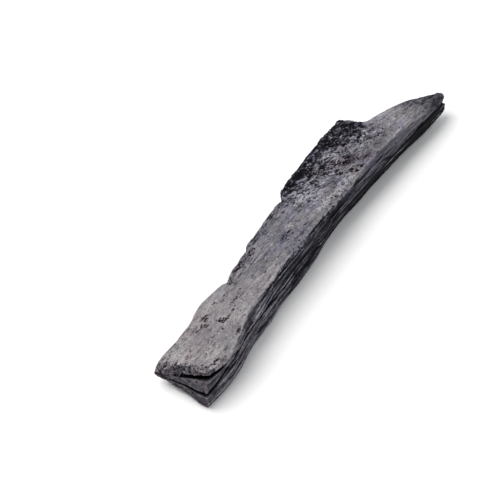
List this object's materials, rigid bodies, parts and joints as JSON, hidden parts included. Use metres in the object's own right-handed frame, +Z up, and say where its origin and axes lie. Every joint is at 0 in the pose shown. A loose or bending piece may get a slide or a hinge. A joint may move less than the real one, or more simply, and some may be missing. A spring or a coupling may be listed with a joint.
{
  "type": "hardwood charcoal stick",
  "caption": "Long stick of split hardwood charcoal with an ashy top, a layered broken end, drying cracks along its side, a knotty flare and a tapered tip, for barbecue fuel.",
  "frame": {"origin": "middle of the stick's footprint, at floor level", "axes": "+X along the stick from its broken, layered end to its tapered tip, +Y towards the flared left side, +Z up out of the split top face"},
  "size_m": [0.2494, 0.046, 0.024],
  "materials": {
    "charcoal": "charred wood, dry and matt, nearly black under a thin coat of grey ash that is thickest on top"
  },
  "bodies": {
    "root": {"charcoal_stick": "charcoal"}
  },
  "joints": []
}
